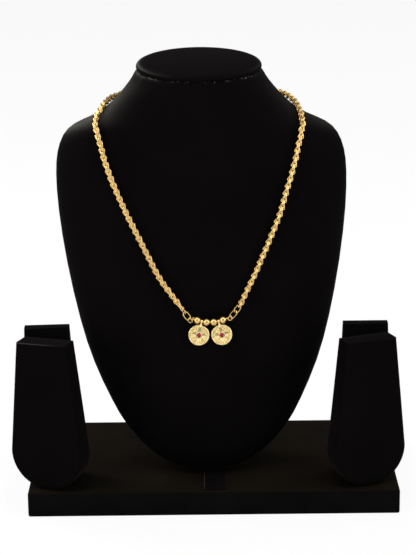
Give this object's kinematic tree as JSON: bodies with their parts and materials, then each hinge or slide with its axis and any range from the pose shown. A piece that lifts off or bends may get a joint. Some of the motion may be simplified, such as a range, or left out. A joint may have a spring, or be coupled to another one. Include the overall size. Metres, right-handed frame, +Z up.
{
  "type": "mangalsutra necklace on display bust",
  "caption": "Short gold mangalsutra with round vati cups, red stones and gold balls on a square link chain, lying on a black velvet neck bust with earring towers.",
  "frame": {"origin": "middle of the board's underside, where the stand meets the table", "axes": "+Z up, the wearer's front and the pendants towards -Y, the wearer's left towards +X"},
  "size_m": [0.2487, 0.1304, 0.2779],
  "materials": {
    "velvet": "matte",
    "board": "matte",
    "gold": "polished",
    "pale_gold": "polished",
    "ruby": "polished"
  },
  "bodies": {
    "root": {"base_board": "board", "neck_bust": "velvet", "front_tab": "velvet", "tower_left_panel": "velvet", "tower_left_block": "velvet", "tower_right_panel": "velvet", "tower_right_block": "velvet", "chain_left": "gold", "chain_right": "gold", "end_link_left": "gold", "oval_ring_left": "gold", "oval_ring_right_a": "gold", "oval_ring_right_b": "gold", "bead_wire": "gold", "bead_1": "gold", "bead_2": "gold", "bead_3": "gold", "bead_4": "gold", "vati_left": "pale_gold", "vati_right": "pale_gold", "stone_left": "ruby", "stone_right": "ruby", "back_clasp": "gold"}
  },
  "joints": []
}
